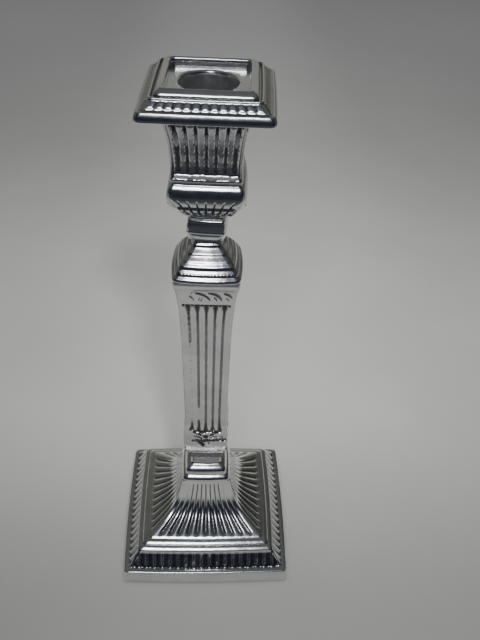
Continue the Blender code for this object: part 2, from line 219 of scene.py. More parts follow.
class Loft:
    """A stack of closed rings with one point count, joined into a solid or a tube."""

    def __init__(self, count):
        self.count = count
        self.points = []
        self.marks = []

    def add(self, x, y, z, mark=None):
        """Add rings given as arrays of rows by points, in mm."""
        x, y, z = np.broadcast_arrays(x, y, z)
        self.points.append(np.stack((x, y, z), axis=-1).reshape(-1, self.count, 3))
        mark = np.zeros(x.shape) if mark is None else mark
        self.marks.append(np.asarray(mark, float).reshape(-1, self.count))

    def mesh(self, name, closed):
        """Make the object; a tube's last ring joins its first, a solid's ends are capped."""
        points = np.concatenate(self.points)
        marks = np.concatenate(self.marks)
        rows = len(points)
        count = self.count
        row = np.arange(rows if closed else rows - 1)[:, None]
        column = np.arange(count)[None, :]
        after_row = (row + 1) % rows
        after_column = (column + 1) % count
        quads = np.stack((row * count + column, row * count + after_column,
                          after_row * count + after_column, after_row * count + column), axis=-1)
        faces = quads.reshape(-1, 4).tolist()
        if not closed:
            faces.append(list(range(count))[::-1])
            faces.append([(rows - 1) * count + index for index in range(count)])
        mesh = bpy.data.meshes.new(name)
        mesh.from_pydata((points.reshape(-1, 3) * MM).tolist(), [], faces)
        layer = mesh.attributes.new("recess", "FLOAT", "POINT")
        layer.data.foreach_set("value", marks.reshape(-1).astype(np.float32))
        mesh.shade_smooth()
        mesh.set_sharp_from_angle(angle=SHARP_ANGLE)
        return add_object(name, mesh)


def round_rings(loft, radii, heights, turn=0.0):
    """Add level circles to a loft, matched to its point count."""
    angle = turn - 3 * math.pi / 4 + 2 * math.pi * (np.arange(loft.count) + 0.5) / loft.count
    radii = np.asarray(radii, float)[:, None]
    heights = np.asarray(heights, float)[:, None]
    loft.add(radii * np.cos(angle), radii * np.sin(angle), heights)


def square_surface(loft, points, share, flats, turn=0.0, relief=None, bow=0.0, uneven=0.0,
                   seed=0.0):
    """Add the rings of a square surface to a loft, with relief standing off its faces.

    share is the corner radius as a share of the half-width: a number or one per row. relief
    takes (place across, half-width, height, face) and gives the rise in mm and the recess mark.
    bow swells each face between its corners, as a share of the half-width: a number or one per
    row. uneven is the casting's own waviness in mm.
    """
    half, height = points[:, 0], points[:, 1]
    share = np.broadcast_to(np.asarray(share, float), half.shape)
    x, y, nx, ny, place, face = square_plan(share, flats)
    tangent = np.gradient(points, axis=0)
    length = np.hypot(tangent[:, 0], tangent[:, 1])
    out = (tangent[:, 1] / length)[:, None]
    up = (-tangent[:, 0] / length)[:, None]
    wide = half[:, None]
    tall = height[:, None] * np.ones_like(x)
    bow = np.broadcast_to(np.asarray(bow, float), half.shape)[:, None]
    swell = bow * wide * (1 - np.clip(np.abs(place), 0, 1) ** 2)
    rise = np.zeros_like(x)
    mark = np.zeros_like(x)
    if relief is not None:
        rise, mark = relief(place, wide, tall, face)
    if uneven > 0.0:
        rise = rise + uneven * waviness(x * wide, y * wide, tall, seed)
    xo = x * wide + nx * (out * rise + swell)
    yo = y * wide + ny * (out * rise + swell)
    zo = tall + up * rise
    xo, yo = turned(xo, yo, turn)
    loft.add(xo, yo, zo, mark)


def waviness(x, y, z, seed):
    """Slow unevenness of a cast and hand-polished surface, from -1 to 1."""
    shape = x.shape
    flat = np.stack((x.ravel(), y.ravel(), z.ravel()), axis=1)
    values = [noise.noise(Vector(((p[0] + seed) * 0.11, p[1] * 0.11, p[2] * 0.11)))
              + 0.35 * noise.noise(Vector((p[0] * 0.45, (p[1] + seed) * 0.45, p[2] * 0.45)))
              for p in flat]
    return np.array(values).reshape(shape)


def column_count(flats):
    """Points in one ring of a square plan."""
    return FACES * (flats + CORNER_STEPS - 1)


def lobe(place, count):
    """Position inside the nearest of count equal lobes across a face, from -1 to 1."""
    turn = (place + 1) / 2 * count
    return 2 * (turn - np.floor(turn)) - 1


# ---- Foot ------------------------------------------------------------

FOOT_SHARE = 0.05
FOOT_BOW = 0.022
FOOT_FLATS = 150
FLUTES = 11
FLUTE_PITCH = 0.166
LOBE_PITCH = 4.25                # mm along the border
LOBE_BAND = (8.38, 16.6)
FOOT_CREASES = ((16.8, 0.25), (18.35, 0.2), (20.15, 0.2))      # height and spread, in mm
TRUMPET = (20.5, 45.2)


def hollow(off, width):
    """Depth from 0 to 1 of a channel with a round bottom and round shoulders."""
    return np.where(off < width, 0.5 + 0.5 * np.cos(math.pi * off / width), 0.0)


def foot_relief(place, half, height, face):
    """Gadroon lobes on the foot's border and hollow flutes up its trumpet curve."""
    # Border of hollow lobes with ridges between them, all square to the edge.
    t = (height - LOBE_BAND[0]) / (LOBE_BAND[1] - LOBE_BAND[0])
    inside = (t > 0) & (t < 1) & (half > 36.0) & (half < 42.5) & (np.abs(place) < 0.985)
    turn = place * half / LOBE_PITCH
    v = 2 * np.abs(turn - np.round(turn))
    end = np.minimum(smoothstep(t, 0.0, 0.03), 1 - smoothstep(t, 0.88, 1.0))
    scoop = hump(v, 0, 1)
    rise = np.where(inside, -0.6 * scoop * end, 0.0)
    mark = np.where(inside, 0.5 * smoothstep(scoop, 0.15, 0.7) * end, 0.0)
    # Creases under the two steps.
    for crease, spread in FOOT_CREASES:
        mark = np.maximum(mark, 0.5 * hump(height, crease, spread))
    # Hollow flutes: broad at the bottom, fine dark lines at the top.
    t = (height - TRUMPET[0]) / (TRUMPET[1] - TRUMPET[0])
    nearest = np.clip(np.round(place / FLUTE_PITCH), -(FLUTES // 2), FLUTES // 2)
    off = np.abs(place - nearest * FLUTE_PITCH)
    narrow = smoothstep(t, 0.22, 0.62)
    shrink = np.sqrt(np.clip((t - 0.012) / 0.035, 0, 1))
    shrink = np.minimum(shrink, np.sqrt(np.clip((0.96 - t) / 0.05, 0, 1)))
    width = FLUTE_PITCH * (0.49 - 0.30 * narrow) * np.maximum(shrink, 1e-3)
    worn = np.clip(1 - 0.5 * narrow * (np.abs(nearest) - 3), 0.0, 1.0)
    cut = hollow(off, width) * np.minimum(1, 1.3 * shrink) * worn
    fluted = (t > 0.012) & (t < 0.96)
    rise = np.where(fluted, -(0.56 - 0.21 * narrow) * cut, rise)
    mark = np.where(fluted, cut ** 1.5 * (0.60 + 0.32 * narrow), mark)
    return rise, mark


def make_foot():
    """Stepped square foot with its hollow underside and the seat of the closing plate."""
    bottom = low("foot")
    top = low("plinth_collar") - SEAM
    profile = outline((43.7, bottom), (44.7, bottom), (45.0, bottom + 0.3, 0.08), (44.4, 6.8),
                      (44.3, 7.1), (43.3, 8.3, 0.35), (42.9, 8.4), (42.1, 8.4), (41.3, 9.1, -0.03),
                      (36.75, 16.6), (36.7, 16.8), (35.4, 17.9, 0.05), (34.9, 18.1, 0.05),
                      (34.1, 18.2), (34.0, 18.4), (32.7, 19.5, 0.05), (32.2, 19.7, 0.05),
                      (31.0, 19.9), (30.8, 20.1), (30.4, 20.5))
    profile += sweep_curve(profile[-1], (16.9, 29.3), (12.7, top))
    loft = Loft(column_count(FOOT_FLATS))
    square_surface(loft, polished(profile, soften=0.12), FOOT_SHARE, FOOT_FLATS,
                   relief=foot_relief, bow=FOOT_BOW, uneven=0.05)
    rebate = half_width("base_plate") + GAP
    ceiling = high("base_plate") + GAP
    seat = high("foot_washer") + GAP
    bore = rod_bore()
    round_rings(loft, [bore + 0.5, bore, bore], [top, top - 0.5, seat])
    inner = np.array([(10.0, seat), (11.6, 33.6), (14.0, 29.3), (19.0, 23.8), (26.0, 18.4),
                      (32.0, 14.5), (37.5, 5.0), (38.5, ceiling), (rebate, ceiling),
                      (rebate, bottom + 0.2), (rebate + 0.2, bottom)])
    square_surface(loft, inner, FOOT_SHARE, FOOT_FLATS)
    return loft.mesh("foot_casting", closed=True)


# ---- Collar ----------------------------------------------------------

STEM_FLATS = 46


BORE_EASE = 0.3                  # mm by which the ends of a bore are eased


def bored_square(name, rows, share, turn, bow, uneven, seed, flats=STEM_FLATS, relief=None):
    """Make a square moulding with a round bore for the rod straight through it."""
    loft = Loft(column_count(flats))
    square_surface(loft, rows, share, flats, turn, relief, bow, uneven, seed)
    bore = rod_bore()
    bottom, top = rows[0, 1], rows[-1, 1]
    round_rings(loft, [bore + BORE_EASE, bore, bore, bore + BORE_EASE],
                [top, top - BORE_EASE, bottom + BORE_EASE, bottom], turn)
    return loft.mesh(name, closed=True)


COLLAR_CREASES = (48.9, 51.1)


def collar_relief(place, half, height, face):
    """Dark marks in the two creases, and painted shade in the neck under the column."""
    # Painted shade in the neck under the column's block.
    mark = 0.42 * smoothstep(height, 54.4, 55.6)
    for crease in COLLAR_CREASES:
        mark = np.maximum(mark, 0.6 * hump(height, crease, 0.25))
    return np.zeros_like(mark), mark


def make_collar():
    """Two rounded mouldings with a plain band between them, and the neck under the column."""
    bottom = low("plinth_collar")
    top = high("plinth_collar") + GAP - SEAM
    profile = outline((12.2, bottom), (12.75, bottom + 0.1), (12.7, bottom + 0.5),
                      (11.1, 48.7, 0.28), (10.9, 48.9), (10.75, 51.0), (10.8, 51.3),
                      (8.5, 54.0, 0.28), (8.1, 54.3), (7.5, 56.0, -0.2), (7.5, 59.4), (8.0, 59.8),
                      (8.0, top))
    return bored_square("collar_casting", polished(profile, soften=0.14), share=0.15, turn=0.0,
                        bow=0.05, uneven=0.06, seed=11.0, relief=collar_relief)


# ---- Column ----------------------------------------------------------

COLUMN_FLATS = 96
SHAFT = (84.0, 165.3)
GROOVE_PITCH = 0.322

# Chisel strokes of the scroll frieze: start, end, half-width and bend, in mm on the face.
FRIEZE_STROKES = (
    (-6.6, 173.5, 1.9, 168.9, 0.52, 1.5),
    (0.8, 173.5, 7.0, 169.0, 0.64, 1.3),
    (7.2, 173.4, 11.5, 170.2, 0.54, 0.9),
    (-7.9, 171.6, -5.6, 168.6, 0.24, 0.5),
    (3.0, 170.9, 4.6, 168.6, 0.30, 0.5),
    (8.6, 170.4, 9.9, 168.5, 0.26, 0.4),
)
ROSETTE = (-2.6, 169.6)
ROSETTE_PETALS = 4
ROSETTE_REACH = 0.75

# Strokes of the leaf band on the block, in the same terms.
LEAF_STROKES = (
    (-5.4, 81.6, -1.6, 79.8, 0.5, 0.3),
    (5.4, 81.6, 1.6, 79.8, 0.5, -0.3),
    (-6.0, 79.6, -1.9, 78.0, 0.5, 0.3),
    (6.0, 79.6, 1.9, 78.0, 0.5, -0.3),
    (8.0, 79.9, 8.6, 78.6, 0.5, 0.0),
    (-4.2, 75.0, -0.9, 71.6, 0.55, 0.2),
    (-2.9, 75.4, -0.5, 72.9, 0.5, 0.2),
    (2.3, 75.0, 1.0, 73.6, 0.35, 0.1),
)


def stroke(x, y, ax, ay, bx, by, width, bend):
    """Depth from 0 to 1 of a curved chisel stroke from a to b, thickest in its middle."""
    dx, dy = bx - ax, by - ay
    length = math.hypot(dx, dy)
    along = ((x - ax) * dx + (y - ay) * dy) / length ** 2
    off = ((y - ay) * dx - (x - ax) * dy) / length - bend * 4 * along * (1 - along)
    body = np.sqrt(np.clip(1 - (2 * along - 1) ** 2, 0, 1))
    return hump(off, 0, width * np.maximum(body, 1e-3)) * (body > 0)


def dash(height, seed, bare):
    """Wear along a groove: 1 where it is whole, 0 where polishing has closed it."""
    values = np.array([noise.noise(Vector((seed, 0.0, h * 0.16)))
                       + 0.5 * noise.noise(Vector((seed, 5.0, h * 0.6)))
                       for h in height[:, 0]])[:, None]
    return smoothstep(values, bare - 0.12, bare + 0.06)


def groove_wear(place, height, face):
    """How much of each shaft groove is left, by face: the outer ones are the most worn."""
    left = np.ones_like(place)
    faded = smoothstep(height, 88.0, 95.0) * (1 - smoothstep(height, 132.0, 150.0))
    for number in range(FACES):
        edge = -2 if number % 2 == 0 else 2
        here = (face == number) & (np.round(place / GROOVE_PITCH) == edge)
        bare = 1.15 * faded - 0.6
        worn = dash(height, 3.0 + number, 0.0)
        left = np.where(here, np.clip(worn - bare, 0, 1) * (1 - 0.85 * faded), left)
        near = (face == number) & (np.round(place / GROOVE_PITCH) == edge / 2)
        gap = smoothstep(height, 90.0, 91.5) * (1 - smoothstep(height, 99.0, 100.5))
        left = np.where(near, 1 - 0.9 * gap, left)
    return left


def shaft_grooves(place, half, height, face):
    """Depth of the five grooves of a face, opening to a wedge at both ends of the shaft."""
    index = np.clip(np.round(place / GROOVE_PITCH), -2, 2)
    off = np.abs(place - index * GROOVE_PITCH) * half
    top_end = smoothstep(height, SHAFT[1] - 6.5, SHAFT[1])
    foot_end = 1 - smoothstep(height, SHAFT[0], SHAFT[0] + 4.0)
    wander = 0.10 * np.sin(height * 0.9 + index * 2.1 + face) + 0.06 * np.sin(height * 2.3 + index)
    width = 0.62 + 1.05 * top_end ** 2 + 0.75 * foot_end ** 2 + wander * 0.5
    on = (height > SHAFT[0] - 0.5) & (height < SHAFT[1])
    return hump(off, 0, width) * on * groove_wear(place, height, face)


def frieze_work(x, height, place):
    """Depth of the frieze's curved strokes and rosette, and of the faint line above them."""
    work = 0.45 * hump(height, 174.9, 0.28)
    work = work * smoothstep(place, -0.5, -0.35) * (1 - smoothstep(place, 0.85, 0.9))
    for line in FRIEZE_STROKES:
        work = np.maximum(work, stroke(x, height, *line))
    for petal in range(ROSETTE_PETALS):
        angle = 2 * math.pi * (petal + 0.25) / ROSETTE_PETALS
        away = np.hypot(x - ROSETTE[0] - ROSETTE_REACH * math.cos(angle),
                        height - ROSETTE[1] - ROSETTE_REACH * math.sin(angle))
        work = np.maximum(work, 0.8 * hump(away, 0, 0.36))
    return work


def leaf_band(x, height, place, face):
    """Depth of the block's two level grooves and leaf strokes, and the beads in the lower."""
    sway = 0.12 * np.sin(x * 1.1 + face) + 0.08 * np.sin(x * 2.7)
    upper = hump(height, 82.9 + sway, 0.75)
    upper = upper * smoothstep(place, -0.62, -0.5) * (1 - smoothstep(place, 0.66, 0.74))
    lower = hump(height, 76.6 + 0.9 * place + sway, 1.0)
    lower = lower * smoothstep(place, -0.66, -0.56) * (1 - smoothstep(place, 0.88, 0.95))
    cut = np.maximum(upper, lower)
    cut = np.maximum(cut, 0.8 * stroke(x, height, -1.4, 79.5, 1.5, 79.6, 1.2, 0.0))
    for line in LEAF_STROKES:
        cut = np.maximum(cut, stroke(x, height, *line))
    away = np.hypot((x + 0.7) % 1.6 - 0.8, height - 76.7 - 0.9 * place)
    return cut, hump(away, 0, 0.5) * (lower > 0.2)


def column_relief(place, half, height, face):
    """Shaft grooves, the leaf band on the block and the scroll work on the frieze."""
    x = place * half
    groove = shaft_grooves(place, half, height, face)
    faint = smoothstep(height, 86.0, 92.0) * (1 - smoothstep(height, 150.0, 164.0))
    under_frieze = hump(height, 165.9, 0.45) * (np.abs(place) < 0.86)
    work = frieze_work(x, height, place)
    leaf, beads = leaf_band(x, height, place, face)
    # Painted shade on the narrow band under the block.
    painted_neck_shade = 1 - smoothstep(height, 64.4, 65.6)
    rise = 0.45 * beads - 0.55 * np.sqrt(groove) - 0.35 * under_frieze
    rise = rise - 0.42 * np.sqrt(work) - 0.6 * np.sqrt(leaf)
    marks = (np.sqrt(groove) * (0.86 - 0.24 * faint), 0.75 * under_frieze, 0.72 * work ** 0.6,
             np.sqrt(leaf) * (1 - 0.9 * beads), 0.62 * painted_neck_shade)
    return rise, np.maximum.reduce(marks)


def make_column():
    """Tapering square shaft on a swollen block, flaring to the frieze at its head."""
    bottom = low("column")
    top = high("column") + GAP - SEAM
    profile = outline((8.8, bottom), (9.3, bottom + 0.1), (9.4, 64.6), (9.6, 64.9),
                      (10.4, 66.4, 0.25), (11.4, 75.0, 0.25), (11.3, 83.4, 0.15),
                      (10.8, 87.5, -0.1), (10.75, 95.0), (11.5, 135.0, -0.05),
                      (12.9, 165.6, -0.3), (14.7, 176.4, -0.25), (14.85, 177.4), (14.8, top))
    rows = polished(profile, soften=0.2, fine=0.16, coarse=0.42)
    share = 0.06 + 0.06 * (1 - smoothstep(rows[:, 1], 64.0, 74.0))
    loft = Loft(column_count(COLUMN_FLATS))
    square_surface(loft, rows, share, COLUMN_FLATS, COLUMN_TURN, column_relief, bow=0.012,
                   uneven=0.06, seed=23.0)
    bore = rod_bore()
    roof, floor = 173.0, 66.0
    round_rings(loft, [bore, bore], [top, roof], COLUMN_TURN)
    inner = np.array([(8.6, roof), (7.9, 135.0), (7.0, 92.0), (6.4, floor)])
    square_surface(loft, inner, 0.1, COLUMN_FLATS, COLUMN_TURN)
    round_rings(loft, [bore, bore], [floor, bottom], COLUMN_TURN)
    return loft.mesh("column_casting", closed=True)


# ---- Shoulder, knop --------------------------------------------------

# Heights up the shoulder and how far its surface faces up there, in degrees.
SHOULDER_ROLLS = ((179.2, -8), (180.0, 5), (180.4, 20), (181.0, 41), (181.8, 40), (182.3, 20),
                  (183.1, 10), (183.5, 35), (184.0, 44), (184.5, 30), (185.0, 15), (185.6, 20),
                  (186.0, 40), (186.8, 43), (187.3, 26), (187.8, 42), (189.3, 42), (189.9, 20),
                  (190.5, 42), (192.0, 40), (192.8, 25), (193.4, 5))


SHOULDER_BEADS = 17
SHOULDER_BEAD_ROW = 182.7
SHOULDER_FLATS = 104


def shoulder_relief(place, half, height, face):
    """Row of fine beads in the groove between the band and the first ring."""
    row = hump(height, SHOULDER_BEAD_ROW, 0.5)
    bead = np.sqrt(hump(lobe(place, SHOULDER_BEADS), 0, 1)) * row
    return 0.30 * bead, 0.75 * row * (1 - bead) ** 0.7


def make_shoulder():
    """Stepped cap: torus band, beaded groove, rings and a hollow neck."""
    bottom = low("shoulder_cap")
    top = high("shoulder_cap") + GAP - SEAM
    profile = [(14.2, bottom)] + rolled(14.8, SHOULDER_ROLLS) + [(5.6, top)]
    rows = polished(profile, soften=0.14, fine=0.12, coarse=0.4)
    share = 0.11 + 0.13 * smoothstep(rows[:, 1], 183.0, 192.0)
    return bored_square("shoulder_casting", rows, share, COLUMN_TURN, bow=0.08, uneven=0.08,
                        seed=37.0, flats=SHOULDER_FLATS, relief=shoulder_relief)


def make_knop():
    """Small square knop with a crisp level ridge."""
    bottom = low("knop")
    top = high("knop") + GAP - SEAM
    profile = outline((5.2, bottom), (5.6, bottom + 0.1), (5.7, 194.3, 0.05), (8.25, 200.2, 0.9),
                      (8.4, 200.6), (8.25, 201.0), (7.8, 205.2, 0.15), (6.9, 206.7, 0.3),
                      (6.7, top))
    rows = polished(profile, soften=0.12)
    share = 0.12 + 0.26 * (1 - smoothstep(rows[:, 1], 198.0, 201.0))
    return bored_square("knop_casting", rows, share, KNOP_TURN, bow=0.05, uneven=0.08, seed=41.0)


# ---- Capital ---------------------------------------------------------

CAPITAL_FLATS = 92
VASE = (230.6, 253.2)
COVE = (228.9, 230.9)
PETALS = (210.4, 217.0)
PETAL_PITCH = (1.8, 1.4)         # mm at the foot of the petals, and its growth to their tips
VASE_PITCH = 0.257
TORUS_CREASE = 226.9
CAPITAL_MOUTH = 14.2             # half-width and depth of the square mouth
CAPITAL_MOUTH_DEPTH = 10.2


def vase_relief(place, half, height, face):
    """Sunk panels of the vase, each with seven dark flutes between its reeds."""
    # Each face is sunk between its corners and runs out in a ragged cove at the bottom.
    ragged = 0.10 * np.sin(place * 11.0 + face) + 0.07 * np.sin(place * 27.0 + 1.3)
    cove = np.clip((height + ragged - COVE[0]) / (COVE[1] - COVE[0]), 0, 1)
    panel = 1 - smoothstep(np.abs(place), 0.86, 0.96)
    sink = 1.2 + 0.5 * (1 - smoothstep(height, 229.5, 240.5))
    rise = -sink * panel * (1 - (1 - cove) ** 2) * (1 - smoothstep(height, 253.0, 254.6))
    # The flutes waver in width, and their run-outs are darker.
    t = (height - VASE[0]) / (VASE[1] - VASE[0])
    index = np.clip(np.round(place / VASE_PITCH), -3, 3)
    off = np.abs(place - index * VASE_PITCH) * half
    waver = 0.12 * np.sin(height * 1.3 + index * 1.7 + face * 2) + 0.08 * np.sin(height * 3.1)
    width = 0.85 + waver + 0.35 * smoothstep(np.abs(index), 2, 3)
    ends = np.minimum(smoothstep(t, 0.0, 0.14), 1 - smoothstep(t, 0.95, 1.0))
    cut = hump(off, 0, width) * ends
    rise = rise - (0.36 + 0.19 * smoothstep(height, 233.0, 241.0)) * cut
    dark_band = smoothstep(t, -0.06, 0.04) * (1 - smoothstep(t, 0.10, 0.26))
    return rise, np.maximum(0.95 * cut ** 0.5, 0.26 * dark_band)


def bowl_relief(place, half, height):
    """Petals on the bowl: their tips stand out, and the cuts between them widen downwards."""
    t = (height - PETALS[0]) / (PETALS[1] - PETALS[0])
    inner = 1 - smoothstep(np.abs(place), 0.72, 0.92)
    bump = smoothstep(t, -0.05, 0.5) * (1 - smoothstep(t, 0.90, 1.0)) * inner
    pitch = PETAL_PITCH[0] + PETAL_PITCH[1] * np.clip(t, 0.0, 1.5)
    nearest = np.clip(np.round(place * half / pitch), -4, 4)
    off = np.abs(place * half - nearest * pitch)
    ends = smoothstep(t, -0.02, 0.06) * (1 - smoothstep(t, 1.2, 1.5)) * inner
    cut = hump(off, 0, 1.05 - 0.70 * smoothstep(t, 0.1, 1.2)) * ends
    # Painted shade on the underside of the bowl next to the knop.
    dark_band = smoothstep(t, -0.1, 0.0) * (1 - smoothstep(t, 0.2, 0.4))
    return 0.6 * bump * (1 - cut) - 0.4 * np.sqrt(cut), np.maximum(cut ** 0.6, 0.45 * dark_band)


def capital_relief(place, half, height, face):
    """The vase's sunk reeded panels, the crease under them and the bowl's petals."""
    vase_rise, vase_mark = vase_relief(place, half, height, face)
    bowl_rise, bowl_mark = bowl_relief(place, half, height)
    crease = 0.6 * hump(height, TORUS_CREASE, 0.45)
    return vase_rise + bowl_rise, np.maximum.reduce((vase_mark, bowl_mark, crease))


def make_capital():
    """Square vase with fluted sides, torus band and fanned bowl, hollow to take the nozzle."""
    bottom = low("capital")
    top = high("capital")
    profile = outline((6.3, bottom), (6.9, bottom + 0.1), (7.1, 207.9, 0.1), (6.4, 208.8, 0.1),
                      (6.6, 209.3), (8.2, 209.9), (11.6, 211.4, 0.25), (14.4, 214.2, 0.4),
                      (15.7, 217.4, 0.25), (16.05, 219.8, 0.06), (15.8, 222.0, 0.08),
                      (14.95, 224.7, 0.1), (14.2, 225.7), (13.9, 226.2, 0.1), (13.8, 226.9),
                      (14.3, 227.5), (14.6, 228.2, 0.1), (14.5, 229.2), (14.35, 231.9),
                      (14.5, 238.0, -0.1), (16.3, 250.6, -0.3), (17.4, top - 0.5, -0.25),
                      (17.3, top))
    rows = polished(profile, soften=0.18, fine=0.14, coarse=0.42)
    share = 0.08 + 0.34 * (1 - smoothstep(rows[:, 1], 208.0, 227.0))
    loft = Loft(column_count(CAPITAL_FLATS))
    bow = 0.014 + 0.014 * (1 - smoothstep(rows[:, 1], 227.0, 233.0))
    square_surface(loft, rows, share, CAPITAL_FLATS, CAPITAL_TURN, capital_relief, bow=bow,
                   uneven=0.07, seed=53.0)
    bore = rod_bore()
    floor = low("upper_washer") - GAP
    inner = np.array([(CAPITAL_MOUTH + 0.3, top), (CAPITAL_MOUTH, top - 0.3),
                      (CAPITAL_MOUTH, top - CAPITAL_MOUTH_DEPTH), (12.9, 241.0),
                      (12.5, 234.0), (11.8, 230.5), (11.8, 219.6), (8.6, floor)])
    square_surface(loft, inner, 0.11, CAPITAL_FLATS, CAPITAL_TURN)
    round_rings(loft, [bore, bore], [floor, bottom], CAPITAL_TURN)
    return loft.mesh("capital_casting", closed=True)


# ---- Nozzle ----------------------------------------------------------

PAN_FLATS = 118
PAN_LOBES = 13
PAN_BAND = (260.6, 263.2)
CUP_WALL = 0.6
LOBED_FACE = 0.95                # share of each face that the lobes fill


def pan_relief(place, half, height, face):
    """Border of pointed lobes between the rim and the rounded rail."""
    t = (height - PAN_BAND[0]) / (PAN_BAND[1] - PAN_BAND[0])
    on = (t > 0) & (t < 1) & (half > 20.5) & (half < 25.0) & (np.abs(place) < LOBED_FACE)
    v = lobe(place / LOBED_FACE, PAN_LOBES)
    width = 0.92 - 0.36 * smoothstep(t, 0.45, 1.0)
    body = np.sqrt(hump(v, 0, width))
    ends = np.minimum(smoothstep(t, 0.0, 0.3), 1 - smoothstep(t, 0.85, 1.0))
    rise = np.where(on, 0.30 * body * ends, 0.0)
    mark = np.where(on, 0.5 * smoothstep(1 - body, 0.3, 0.9) * ends + 0.2 * ends, 0.0)
    groove = (half < 20.4) & (half > 19.4)
    # Painted shade on the flat margin between the lobes and the rim.
    painted_shade_margin = (height < PAN_BAND[0]) & (half > 23.4) & (half < 24.6)
    return rise, np.maximum(mark, 0.55 * groove + 0.45 * painted_shade_margin)


def make_pan():
    """Square drip pan: rounded rim, lobed border, rail, flat deck and the candle mouth."""
    deck = low("well_frame") - GAP
    rim = low("drip_pan")
    seat = high("capital") + SEAM
    profile = outline((24.9, rim + 0.2), (25.8, rim, 0.1), (26.05, rim + 0.3, 0.06),
                      (25.3, 259.7, 0.25), (24.6, 260.25, 0.15), (24.0, 260.35), (23.7, 260.5),
                      (21.3, 263.1), (21.1, 263.5), (20.5, 264.2, 0.2), (20.15, 264.1, 0.05),
                      (19.9, 263.7), (19.8, deck))
    rows = polished(profile, soften=0.13, fine=0.1, coarse=0.35)
    loft = Loft(column_count(PAN_FLATS))
    square_surface(loft, rows, 0.075, PAN_FLATS, CAPITAL_TURN, pan_relief, bow=0.012, uneven=0.03,
                   seed=67.0)
    deck_rows = np.array([(18.6, deck), (17.0, deck), (15.6, deck), (14.2, deck), (13.0, deck)])
    square_surface(loft, deck_rows, [0.08, 0.12, 0.2, 0.4, 0.7], PAN_FLATS, CAPITAL_TURN,
                   uneven=0.04, seed=71.0)
    bore = half_width("candle_cup") - CUP_WALL
    lip = [(bore + 1.1, 0.0), (bore + 0.75, -0.08), (bore + 0.35, -0.35), (bore + 0.1, -0.75),
           (bore, -1.2), (bore, high("candle_cup") + GAP - deck)]
    round_rings(loft, [radius for radius, drop in lip], [deck + drop for radius, drop in lip],
                CAPITAL_TURN)
    cup_seat = bore + 0.9
    round_rings(loft, [cup_seat, cup_seat], [high("candle_cup") + GAP, seat], CAPITAL_TURN)
    under = np.array([(17.6, seat), (17.6, 258.6), (24.2, 258.6), (24.4, rim + 0.4)])
    square_surface(loft, under, 0.08, PAN_FLATS, CAPITAL_TURN)
    return loft.mesh("pan_casting", closed=True)


def make_frame_ring():
    """Raised frame with a rounded crown round the well."""
    bottom = low("well_frame") - GAP + SEAM
    top = high("well_frame")
    profile = outline((19.1, bottom), (19.3, bottom + 0.3), (19.3, top - 1.9, 0.05),
                      (17.4, top - 0.3, 0.25), (16.9, top, 0.06), (16.6, top - 0.1, 0.05),
                      (15.9, top - 0.8, 0.2), (15.7, top - 1.5), (15.6, bottom))
    rows = polished(profile, soften=0.12, fine=0.1, coarse=0.4)
    loft = Loft(column_count(STEM_FLATS))
    square_surface(loft, rows, 0.11, STEM_FLATS, CAPITAL_TURN, bow=0.006, uneven=0.06, seed=79.0)
    return loft.mesh("well_frame_casting", closed=True)


def make_cup():
    """Spun candle cup with a rounded foot and a plain wall."""
    low_z, high_z = low("candle_cup"), high("candle_cup") + 0.26
    outer = half_width("candle_cup")
    inner = outer - CUP_WALL
    floor = low_z + 0.9
    count = 128
    loft = Loft(count)
    outside = polished([(0.4, low_z), (outer - 1.2, low_z), (outer - 0.35, low_z + 0.35),
                        (outer, low_z + 1.2), (outer, high_z - 0.1), (outer - 0.1, high_z)],
                       soften=0.1, fine=0.1, coarse=1.5)
    inside = polished([(inner + 0.1, high_z), (inner, high_z - 0.1), (inner, floor + 1.0),
                       (inner - 0.3, floor + 0.3), (inner - 1.0, floor), (0.4, floor)],
                      soften=0.1, fine=0.1, coarse=0.5)
    for rows in (outside, inside):
        round_rings(loft, rows[:, 0], rows[:, 1])
    return loft.mesh("candle_cup_spun", closed=False)


def make_flange():
    """Square tube under the pan, with eased edges, that keys the nozzle in the capital."""
    bottom, top = low("nozzle_flange"), high("nozzle_flange")
    profile = outline((12.8, bottom), (13.5, bottom), (13.9, bottom + 0.5), (13.9, top),
                      (12.6, top), (12.6, bottom + 0.2))
    loft = Loft(column_count(STEM_FLATS))
    square_surface(loft, polished(profile, soften=0.08, fine=0.1, coarse=1.0), 0.115, STEM_FLATS,
                   CAPITAL_TURN)
    return loft.mesh("flange_tube", closed=True)


# ---- Materials -------------------------------------------------------

MIX_VALUES = (2, 3)              # inputs of a Mix node that take numbers, and colours
MIX_COLOURS = (6, 7)


